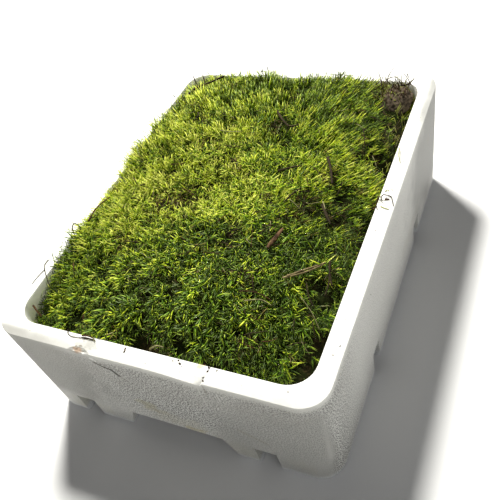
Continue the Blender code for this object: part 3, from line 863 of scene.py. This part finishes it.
def shootTree():
    # the scatter of shoots over one tile of the mat, with the identifiers of its inputs
    tree = bpy.data.node_groups.new("shootScatter", "GeometryNodeTree")
    kinds = {"Geometry": "Geometry", "Shoots": "Collection", "Material": "Material", "Seed": "Int"}
    plain = ("Spacing", "Density", "Low X", "High X", "Low Y", "High Y", "Turn", "Wobble", "Low Share")
    kinds.update({name: "Float" for name in plain})
    sockets = {}
    for name, kind in kinds.items():
        made = tree.interface.new_socket(name, in_out="INPUT", socket_type=f"NodeSocket{kind}")
        sockets[name] = made.identifier
    tree.interface.new_socket("Geometry", in_out="OUTPUT", socket_type="NodeSocketGeometry")
    given = {s.name: Wire(s) for s in tree.nodes.new("NodeGroupInput").outputs if s.name}

    def attribute(name, kind="FLOAT"):
        return wired(tree, "GeometryNodeInputNamedAttribute", {"Name": name}, "Attribute", data_type=kind)

    def dice(low, high, salt, kind="FLOAT"):
        values = {"Min": low, "Max": high, "Seed": salt}
        return wired(tree, "FunctionNodeRandomValue", values, "Value", data_type=kind)

    def both(a, b):
        return wired(tree, "FunctionNodeBooleanMath", {0: a, 1: b}, operation="AND")

    def compared(operation, a, b):
        values = {"A": a, "B": b}
        return wired(tree, "FunctionNodeCompare", values, data_type="FLOAT", operation=operation)

    def within(value, low, high):
        return both(compared("GREATER_EQUAL", value, low), compared("LESS_THAN", value, high))

    def stored(geometry, name, value, kind, domain):
        values = {"Geometry": geometry, "Name": name, "Value": value}
        return wired(tree, "GeometryNodeStoreNamedAttribute", values, data_type=kind, domain=domain)

    kind, tone = attribute("kind"), attribute("tone")
    x, y, _ = apart(wired(tree, "GeometryNodeInputPosition", {}))
    facing = apart(wired(tree, "GeometryNodeInputNormal", {}))[2]
    tile = both(within(x, given["Low X"], given["High X"]), within(y, given["Low Y"], given["High Y"]))
    values = {
        "Mesh": given["Geometry"],
        "Selection": both(tile, compared("GREATER_THAN", facing, 0.25)),
        "Distance Min": given["Spacing"],
        "Density Max": given["Density"],
        "Density Factor": attribute("crowd"),
        "Seed": given["Seed"],
    }
    scatter = "GeometryNodeDistributePointsOnFaces"
    points = wired(tree, scatter, values, "Points", distribute_method="POISSON")
    wobble = vectored("SCALE", dice((-1, -1, 0), (1, 1, 0), 3, "FLOAT_VECTOR"), given["Wobble"])
    leaning = vectored("ADD", attribute("lean", "FLOAT_VECTOR"), wobble)
    flat = vectored("MULTIPLY", leaning, (1, 1, 0))
    align = "FunctionNodeAlignRotationToVector"
    upright = wired(tree, align, {"Vector": leaning}, axis="Z")
    swept = wired(tree, align, {"Rotation": upright, "Vector": flat}, axis="X", pivot_axis="Z")
    angle = dice(-1.0, 1.0, 4) * ((1.25 - kind) * given["Turn"])
    spin = wired(tree, "FunctionNodeAxisAngleToRotation", {"Axis": (0, 0, 1), "Angle": angle})
    turned = wired(tree, "FunctionNodeRotateRotation", {0: swept, 1: spin}, rotation_space="LOCAL")
    # a good half of the shoots stay low and fill, the others stand out above them
    isLow = reckon("LESS_THAN", dice(0.0, 1.0, 11), given["Low Share"])
    tall = 1.0 - isLow
    high = dice(*moss["tallSizes"], 5) * tall + dice(*moss["lowSizes"], 12) * isLow
    size = attribute("grow") * high
    girth = size * dice(*moss["girths"], 6)
    # the kind runs from upright, 0, through fine, 0.5, to swept, 1, with some mixing
    pick = reckon("MAXIMUM", kind * 10.0 + dice(-2.5, 7.0, 7), 0.0)
    pick = reckon("MINIMUM", pick, 14.9) * tall + dice(15.0, 19.9, 13) * isLow
    # a living shoot keeps off the brown end of the palette, a dead one stays on it
    # painted shade: low shoots are painted darker, as they stand in the shade of the tall ones
    living = tone + dice(-0.20, 0.20, 8) - isLow * 0.20
    living = reckon("MAXIMUM", living, moss["leastLiving"])
    isDead = reckon("LESS_THAN", dice(0.0, 1.0, 9), attribute("dead"))
    shade = living * (1.0 - isDead) + dice(*moss["deadTones"], 10) * isDead
    values = {"Collection": given["Shoots"], "Separate Children": True, "Reset Children": True}
    values = {
        "Points": stored(points, "tone", shade, "FLOAT", "POINT"),
        "Instance": wired(tree, "GeometryNodeCollectionInfo", values),
        "Pick Instance": True,
        "Instance Index": reckon("FLOOR", pick),
        "Rotation": turned,
        "Scale": wired(tree, "ShaderNodeCombineXYZ", {0: girth, 1: girth, 2: size}),
    }
    grown = wired(tree, "GeometryNodeInstanceOnPoints", values)
    whole = wired(tree, "GeometryNodeRealizeInstances", {0: grown})
    # leaves differ more on living shoots, and stay off the brown end there
    lives = reckon("GREATER_THAN", tone, 0.2)
    across = reckon("MAXIMUM", tone + attribute("tint") * (lives * 0.32 + 0.04), lives * 0.20)
    across = reckon("MINIMUM", reckon("MAXIMUM", across, 0.01), 0.99)
    chart = wired(tree, "ShaderNodeCombineXYZ", {0: across, 1: attribute("along") * 0.98 + 0.01})
    mapped = stored(whole, "OFBake", chart, "FLOAT2", "CORNER")
    values = {"Geometry": mapped, "Material": given["Material"]}
    done = wired(tree, "GeometryNodeSetMaterial", values)
    fill(tree.nodes.new("NodeGroupOutput"), {"Geometry": done})
    return tree, sockets


def keepOnly(data, *names):
    # removes the attributes that only the scatter needs
    for name in [a.name for a in data.attributes if not a.name.startswith(".")]:
        if name not in ("position", "sharp_face", "material_index", *names):
            data.attributes.remove(data.attributes[name])


def tilesAlong(axis):
    # the name, the low end and the high end of each tile; the outermost ends lie far out
    names, low, high = moss["tiles"][axis], mossLow[axis], mossHigh[axis]
    ends = [low + (high - low) * i / len(names) for i in range(len(names) + 1)]
    ends[0] -= 1.0
    ends[-1] += 1.0
    return list(zip(names, ends, ends[1:]))


def growShoots(mat):
    tree, sockets = shootTree()
    kinds = makeShootKinds()
    leafy = leafMaterial()
    bed = linked("bed", mat.data)
    grown = 0
    for column, lowX, highX in tilesAlong(0):
        for row, lowY, highY in tilesAlong(1):
            step = bed.modifiers.new("grow", "NODES")
            step.node_group = tree
            values = {
                "Shoots": kinds,
                "Material": leafy,
                "Spacing": moss["spacing"],
                "Density": moss["density"],
                "Seed": moss["seed"],
                "Low X": lowX,
                "High X": highX,
                "Low Y": lowY,
                "High Y": highY,
                "Turn": moss["turn"],
                "Wobble": moss["wobble"],
                "Low Share": moss["lowShare"],
            }
            for name, value in values.items():
                step[sockets[name]] = value
            bpy.context.view_layer.update()
            graph = bpy.context.evaluated_depsgraph_get()
            data = bpy.data.meshes.new_from_object(bed.evaluated_get(graph))
            bed.modifiers.clear()
            keepOnly(data, "OFBake")
            data.polygons.foreach_set("use_smooth", [True] * len(data.polygons))
            data.name = f"mossShoots{column}{row}"
            settle(linked(data.name, data), ["moss_clump"])
            grown += len(data.polygons)
            print(data.name, len(data.polygons), "triangles")
    bpy.data.objects.remove(bed)
    for old in list(kinds.objects):
        bpy.data.objects.remove(old)
    bpy.data.collections.remove(kinds)
    keepOnly(mat.data)
    print("moss grown,", grown, "triangles")


mat = makeMat()
markMat(mat)
growShoots(mat)
settle(mat, ["moss_clump"])

barks = {  # name, dark and light colour, grain, bump in millimetres, roughness, grain across
    "tan": ("tanBark", (0.06, 0.038, 0.018), (0.34, 0.27, 0.13), 420.0, 0.3, 0.8, 1.0),
    "dark": ("darkBark", (0.010, 0.007, 0.004), (0.055, 0.038, 0.018), 420.0, 0.3, 0.8, 1.0),
    "rust": ("rustBark", (0.012, 0.007, 0.004), (0.12, 0.055, 0.022), 500.0, 0.3, 0.8, 0.3),
    "flake": ("flakeBark", (0.012, 0.006, 0.003), (0.24, 0.13, 0.065), 300.0, 0.3, 0.8, 0.25),
    "pale": ("paleStraw", (0.07, 0.06, 0.025), (0.36, 0.34, 0.16), 260.0, 0.3, 0.8, 1.0),
    "peat": ("peatCrumb", (0.010, 0.007, 0.006), (0.17, 0.13, 0.085), 400.0, 0.5, 0.95, 1.0),
    "wisp": ("greenWisp", (0.16, 0.18, 0.03), (0.42, 0.44, 0.09), 200.0, 0.1, 0.6, 1.0),
}


def barkMaterial(name, dark, light, grain, bump, rough, grainAcross):
    made, tree, shader, where = newMaterial(name)
    where = wired(tree, "ShaderNodeMapping", {"Vector": where, "Scale": (1, grainAcross, 1)})
    coarse = noisy(where, grain, 4.0, 0.65)
    share = coarse * 0.7 + noisy(where, grain * 0.22, 2.0) * 0.3
    middle = tuple(0.5 * (a + b) for a, b in zip(dark, light))
    values = {
        "Base Color": ramp(share, [(0.34, dark), (0.5, middle), (0.64, light)]),
        "Roughness": rough,
        "Specular IOR Level": 0.15,
        "Normal": bumped(coarse, bump * mm),
    }
    fill(shader, values)
    return made


looks = {look: barkMaterial(*values) for look, values in barks.items()}
pieces = {  # CAD node, slot, look, cuts; in millimetres roughness, its grain, thinner by, sunk by
    "twigRight": ("twig_right", "tan", "tan", 2, 0.35, 1.6, 0.5, 0.8),
    "twigShort": ("twig_short", "dark", "dark", 2, 0.25, 1.4, 0.0, 0.0),
    "twigBack": ("twig_back", "dark", "dark", 2, 0.3, 1.6, 0.0, 0.0),
    "twigBent": ("twig_bent", "dark", "dark", 2, 0.35, 1.8, 0.0, 0.0),
    "stemDark": ("stem_dark", "dark", "dark", 2, 0.35, 1.8, 0.0, 0.0),
    "needleLeft": ("needle_left", "rust", "rust", 2, 0.12, 2.0, 0.0, 0.0),
    "rootFront": ("root_front", "dark", "dark", 2, 0.2, 1.8, 0.45, 0.9),
    "barkFlake": ("bark_flake", "rust", "flake", 3, 0.5, 2.4, 0.4, 2.2),
    "bladePale": ("blade_pale", "pale", "dark", 2, 0.2, 2.2, 0.5, 0.8),
    "peatLump": ("peat_lump", "peat", "peat", 3, 1.6, 4.5, 0.0, 0.0),
}
narrowed = {"barkFlake": ((65, -77), (70, -52), 0.6)}  # a line's ends and the width kept


def dressed(name, cadNode, slot, look, cuts, *measures):
    # a CAD litter node made knobbly; some thinner, narrower about a line or sunk a little
    rough, grain, thinner, sunk = inMetres(measures)
    shape = mergedCopy(cadNode)
    shape.normal_update()
    for vert, ahead in [(v, v.normal.copy()) for v in shape.verts]:
        vert.co -= ahead * thinner + Vector((0, 0, sunk))
        if name in narrowed:
            one, other, kept = narrowed[name]
            start, along = Vector(one) * mm, Vector(other) - Vector(one)
            foot = start + along * ((vert.co.xy - start).dot(along) / along.length_squared)
            vert.co.xy = foot + (vert.co.xy - foot) * kept
    bmesh.ops.subdivide_edges(shape, edges=shape.edges, cuts=cuts, use_grid_fill=True)
    shape.normal_update()
    moved = [v.co + v.normal * rough * noise.fractal(v.co / grain, 1.0, 2.0, 2) for v in shape.verts]
    for vert, place in zip(shape.verts, moved):
        vert.co = place
    settle(addObject(name, shape, looks[look]), [cadNode])


def tube(shape, points, thick, thin, sides=5):
    # a closed tube through the points, tapered in radius
    rings, side, last = [], Vector((0, 0, 1)), len(points) - 1
    for i, point in enumerate(points):
        radius = thick + (thin - thick) * i / last
        ahead = (points[min(i + 1, last)] - points[max(i - 1, 0)]).normalized()
        side = (side - ahead * side.dot(ahead)).normalized() if i else ahead.orthogonal().normalized()
        up = ahead.cross(side)
        turns = [2 * math.pi * k / sides for k in range(sides)]
        ring = [point + radius * (side * math.cos(t) + up * math.sin(t)) for t in turns]
        rings.append([shape.verts.new(place) for place in ring])
    for a, b in zip(rings, rings[1:]):
        for k in range(sides):
            j = (k + 1) % sides
            shape.faces.new((a[k], a[j], b[j], b[k]))
    shape.faces.new(rings[0][::-1])
    shape.faces.new(rings[-1])


def curved(points, steps=4):
    # a smooth line through the points
    line = []
    for i in range(len(points) - 1):
        before, a = points[max(i - 1, 0)], points[i]
        b, after = points[i + 1], points[min(i + 2, len(points) - 1)]
        second = 2 * before - 5 * a + 4 * b - after
        third = 3 * a - before - 3 * b + after
        for t in [k / steps for k in range(steps)]:
            line.append(0.5 * (2 * a + (b - before) * t + second * t * t + third * t**3))
    return [*line, points[-1]]


def surfaceTree(*cadNodes):
    shape = bmesh.new()
    for cadNode in cadNodes:
        shape.from_mesh(frame["nodes"][cadNode].data)
    made = BVHTree.FromBMesh(shape)
    shape.free()
    return made


ground = surfaceTree("moss_clump", "foam_box", "peat_lump")


def onTop(x, y, above):
    # a point this far over the surface
    hit = ground.ray_cast(Vector((x, y, 0.5)), Vector((0, 0, -1)))[0]
    return Vector((x, y, (hit.z if hit else rimHeight) + above))


def crumb(shape, place, size, dice):
    made = bmesh.ops.create_icosphere(shape, subdivisions=1, radius=size * mm)
    stretch = Vector(drawn(dice, ((0.7, 1.4), (0.6, 1.0), (0.4, 0.8))))
    turn = Euler(drawn(dice, ((0, 3), (0, 3), (0, 6))))
    for vert in made["verts"]:
        co = vert.co * dice.uniform(0.75, 1.2) * stretch
        co.rotate(turn)
        vert.co = co + place


strands = {  # millimetres: thick and thin radius, then points with their height over the surface
    "dark": [
        (0.55, 0.35, (-128, -91, 1), (-134, -84, 3), (-132, -81, 4), (-126, -83, 2)),
        (0.7, 0.4, (53, -183, 2), (57, -187, 1), (56.5, -192, 0.6), (56, -195, 0.4)),
        (
            0.55, 0.36, (134, 6, 2), (136.9, 8.6, 2), (140.2, 13.6, 1.4), (144.3, 12.9, 0.8),
            (145.6, 10.8, 0.5), (149, 2.5, 0.2),
        ),
        (
            0.45, 0.3, (-144, -119, 0.5), (-144, -125, 0.6), (-140.5, -130, 0.6), (-141, -134, 0.6),
            (-142, -141, 0.6), (-142.5, -148, 0.3),
        ),
        (
            0.45, 0.4, (-141.5, -129, 0.6), (-137, -134, 0.5), (-132, -139, 6), (-128, -143, 6),
            (-125, -145, 4),
        ),
        (0.5, 0.4, (-60, -187.6, 1), (-55.4, -186.9, 1.2), (-51.4, -186.9, 1.2), (-46.5, -187, 0.8)),
        (1.0, 0.5, (118, 166, 4), (124, 172, 6), (128, 181, 7)),
        (0.6, 0.3, (100, 160, 5), (95, 174, 9), (89, 188, 9)),
        (0.6, 0.3, (104, 164, 5), (102, 178, 9), (104, 195, 10)),
        (0.9, 0.6, (60, -23, 1), (64, -14, 2), (69, -2, 1)),
        (0.7, 0.5, (118, -80, 2), (121, -92, 2), (121, -104, 1)),
        (0.6, 0.4, (106, -100, 1), (112, -112, 2), (118, -118, 1)),
        (1.0, 0.7, (41, 14, 1), (52, 22, 2), (60, 26, 1)),
        (0.9, 0.6, (-84, 96, 1), (-78, 88, 3), (-78, 78, 1)),
    ],
    "rust": [
        (0.5, 0.4, (-123, -29, 2), (-120, -27, 4), (-114, -31, 1)),
        (0.6, 0.4, (48, -180, 2), (53, -184, 2), (57, -186, 2), (62, -184, 1)),
        (0.9, 0.6, (140.0, 9.0, 0.5), (142, 9.4, 0.8), (143.6, 9.8, 0.5)),
        (0.8, 0.5, (129, 9, 2), (132, 4, 4), (136, -3, 3)),
        (0.7, 0.4, (128, 1, 3), (132, 3, 5), (135, 7, 4)),
        (0.9, 0.7, (-131, -166, 9), (-126, -169, 8), (-121.5, -171, 4)),
        (0.7, 0.5, (-60, -186, 1.5), (-54, -185.4, 2), (-49, -185.8, 1.5)),
        (0.6, 0.45, (-18.1, -184.6, 0.6), (-17.1, -187.3, 0.6), (-16.2, -190, 0.4)),
        (0.5, 0.3, (98, 168, 5), (104, 176, 8), (113, 181, 7)),
        (0.5, 0.35, (60, -124, 3), (73, -121, 3), (86, -124, 2)),
    ],
    "wisp": [
        (0.4, 0.3, (137.6, 18.9, 0.4), (139.5, 21, 0.8), (141, 19.4, 0.4)),
        (0.5, 0.3, (138.5, 0, 0.5), (142, -1.5, 0.8), (146, -2.2, 0.4)),
        (0.5, 0.3, (137, 76, 2), (139, 65, 3), (142, 57, 1)),
    ],
    "pale": [
        (0.7, 0.35, (131, 10, 2), (135, 9, 4), (139, 5, 3)),
        (0.5, 0.35, (-51.5, -184.4, 2), (-48.6, -185.7, 2), (-46.6, -188.2, 1)),
        (0.7, 0.4, (91.6, -12.5, 3), (94, -16, 3.4), (96.5, -20.5, 3)),
        (0.55, 0.4, (116, 144, 5), (119, 148, 7), (123, 152, 6)),
        (0.9, 0.5, (-2, -179, 2), (5, -177, 3), (12, -177, 2)),
        (0.45, 0.3, (-40, 62, 2), (-28, 60, 3), (-16, 62, 2)),
        (0.6, 0.35, (66, -130, 3), (78, -126, 3), (88, -128, 2)),
        (0.4, 0.3, (126, -133, 2), (118, -124, 3), (106, -114, 2)),
    ],
    "tan": [
        (0.5, 0.35, (-17.9, -184.6, 0.8), (-16.3, -184, 0.8), (-14.9, -183.8, 0.6)),
        (0.8, 0.5, (88, -103, 2), (101, -92.5, 2.6), (113, -79, 3)),
    ],
}
strewn = {  # number, lengths and radii in millimetres, seed
    "dark": (64, (7, 20), (0.28, 0.6), 21),
    "rust": (48, (6, 18), (0.25, 0.45), 22),
    "pale": (46, (6, 16), (0.22, 0.4), 23),
}


def addStrands(shapes):
    # single strands that the photo shows, and short dry ones strewn over the moss
    for look, rows in strands.items():
        for thick, thin, *points in rows:
            line = curved([onTop(*inMetres(point)) for point in points])
            tube(shapes[look], line, thick * mm, thin * mm, 6)
    highX, highY, _ = mossHigh
    for look, (count, lengths, radii, seed) in strewn.items():
        dice = random.Random(seed)
        made = 0
        while made < count:
            x, y = drawn(dice, ((mossLow[0], highX), (mossLow[1], highY)))
            x, y = x * 0.93, y * 0.95
            keep = 0.18 + 0.8 * max(patched("brown", x, y), patched("dark", x, y))
            if dice.random() > keep:
                continue
            heading, bend = drawn(dice, ((0, 2 * math.pi), (-0.6, 0.6)))
            length, radius = inMetres(drawn(dice, (lengths, radii)))
            line = []
            for _ in range(4):
                if abs(x) < highX - 2 * mm and abs(y) < highY - 2 * mm:
                    line.append(onTop(x, y, dice.uniform(-1.5, 1.0) * mm))
                x += math.cos(heading) * length / 3
                y += math.sin(heading) * length / 3
                heading += bend / 3
            if len(line) < 3:
                continue
            tube(shapes[look], line, radius, radius * 0.7)
            made += 1


peat = {  # what stands out of the clod and its corner; millimetres
    "seed": 31,
    "roots": (  # look, number, lengths, radius at the foot
        ("dark", 26, (8, 20), 0.45),
        ("rust", 18, (6, 14), 0.4),
        ("wisp", 26, (6, 13), 0.35),
        ("pale", 12, (6, 12), 0.35),
    ),
    "rootArea": ((97, 130), (140, 182)),
    "rootLean": ((-0.7, 0.35), (-0.3, 0.55), (0.35, 1.0)),
    "crumbs": 60,
    "crumbArea": ((103, 126), (146, 178), (-0.4, 0.6)),
    "crumbLooks": ("peat", "tan", "wisp", "rust"),
    "crumbSizes": (0.6, 1.5),
    "threads": (("wisp", 30), ("pale", 16), ("dark", 12)),
    "threadArea": ((120, 133), (20, 140)),
    "threadLean": ((-0.5, 0.6), (0.1, 0.9), (0.4, 0.9)),
    "threadLengths": (6, 12),
}


def addPeat(shapes):
    dice = random.Random(peat["seed"])
    for look, count, reach, thick in peat["roots"]:
        for _ in range(count):
            start = onTop(*inMetres((*drawn(dice, peat["rootArea"]), -1)))
            lean = Vector(drawn(dice, peat["rootLean"])).normalized()
            length = dice.uniform(*reach) * mm
            middle = start + lean * length * 0.55
            astray = Vector((*drawn(dice, [(-0.6, 0.6)] * 2), 0.0))
            end = middle + (lean + astray) * length * 0.45
            tube(shapes[look], curved([start, middle, end], 3), thick * mm, 0.2 * mm)
    for _ in range(peat["crumbs"]):
        place = onTop(*inMetres(drawn(dice, peat["crumbArea"])))
        shape = shapes[dice.choice(peat["crumbLooks"])]
        crumb(shape, place, dice.uniform(*peat["crumbSizes"]), dice)
    # threads along the right wall that reach up and back
    for look, count in peat["threads"]:
        for _ in range(count):
            start = onTop(*inMetres((*drawn(dice, peat["threadArea"]), -3)))
            ahead = Vector(drawn(dice, peat["threadLean"])).normalized()
            length = dice.uniform(*peat["threadLengths"]) * mm
            end = start + ahead * length + Vector((0, 0, -0.15 * length))
            line = curved([start, start + ahead * length * 0.5, end], 3)
            tube(shapes[look], line, 0.36 * mm, 0.18 * mm)


dust = {
    "seed": 41,
    "number": 40,
    "sizes": (0.18, 0.42),  # millimetres
    "looks": ("peat", "rust", "tan"),
    "onFront": ((-138, 138), (-196, -186)),  # x and y in millimetres
    "onRight": ((137, 147), (-180, 180)),
    "specks": [  # x, y, size in millimetres on the rim
        (-16.6, -190.4, 0.9), (26.9, -187.6, 0.8), (33.5, -188.6, 1.2), (121.2, -189.0, 0.9),
        (142.6, -152.5, 0.7), (142.1, -120.3, 0.7), (145.3, -144.0, 0.6), (57.5, -188.5, 1.2),
        (57.4, -197.2, 1.0), (-15.9, -184.5, 0.8), (-9.2, -188.5, 0.6), (31.0, -186.0, 0.8),
        (35.5, -190.2, 0.6), (-20.9, -189.5, 0.6), (64.0, -186.5, 0.7), (50.0, -183.0, 1.2),
        (53.0, -184.5, 1.6), (60.0, -184.5, 1.3), (-92.0, -190.0, 0.5), (143.0, 22.0, 0.8),
        (141.0, -28.0, 0.7), (144.0, 60.0, 0.6), (138.5, 100.0, 0.6), (76.0, 190.0, 0.9),
        (84.0, 187.0, 0.7), (90.0, 191.0, 0.6), (-140.0, 20.0, 0.6), (-143.0, 120.0, 0.7),
    ],
}


def addDust(shapes):
    dice = random.Random(dust["seed"])
    for x, y, size in dust["specks"]:
        place = onTop(*inMetres((x, y, 0.35 * size)))
        crumb(shapes["peat" if dice.random() < 0.6 else "rust"], place, size, dice)
    for _ in range(dust["number"]):
        side = dice.random()
        x, y = drawn(dice, dust["onFront"])
        if side > 0.45:
            x, y = drawn(dice, dust["onRight"])
        shape = shapes[dice.choice(dust["looks"])]
        crumb(shape, onTop(*inMetres((x, y, 0.1))), dice.uniform(*dust["sizes"]), dice)


def makeLitter():
    for name, values in pieces.items():
        dressed(name, *values)
    shapes = {look: bmesh.new() for look in looks if look != "flake"}
    addStrands(shapes)
    addPeat(shapes)
    addDust(shapes)
    for look, shape in shapes.items():
        made = addObject(f"strewn{look.capitalize()}", shape, looks[look])
        settle(made, None)


makeLitter()
print("litter laid")


def makeFloor():
    made, tree, shader, where = newMaterial("floor")
    colour = ramp(noisy(where, 3.0, 2.0), [(0.3, 0.87), (0.7, 0.90)])
    fill(shader, {"Base Color": colour, "Roughness": 0.9})
    shape = bmesh.new()
    bmesh.ops.create_grid(shape, x_segments=2, y_segments=2, size=8.0)
    bmesh.ops.translate(shape, verts=shape.verts, vec=(0, 0, -0.05 * mm))
    addObject("floor", shape, made)


makeFloor()
print("floor laid")

bpy.context.view_layer.update()
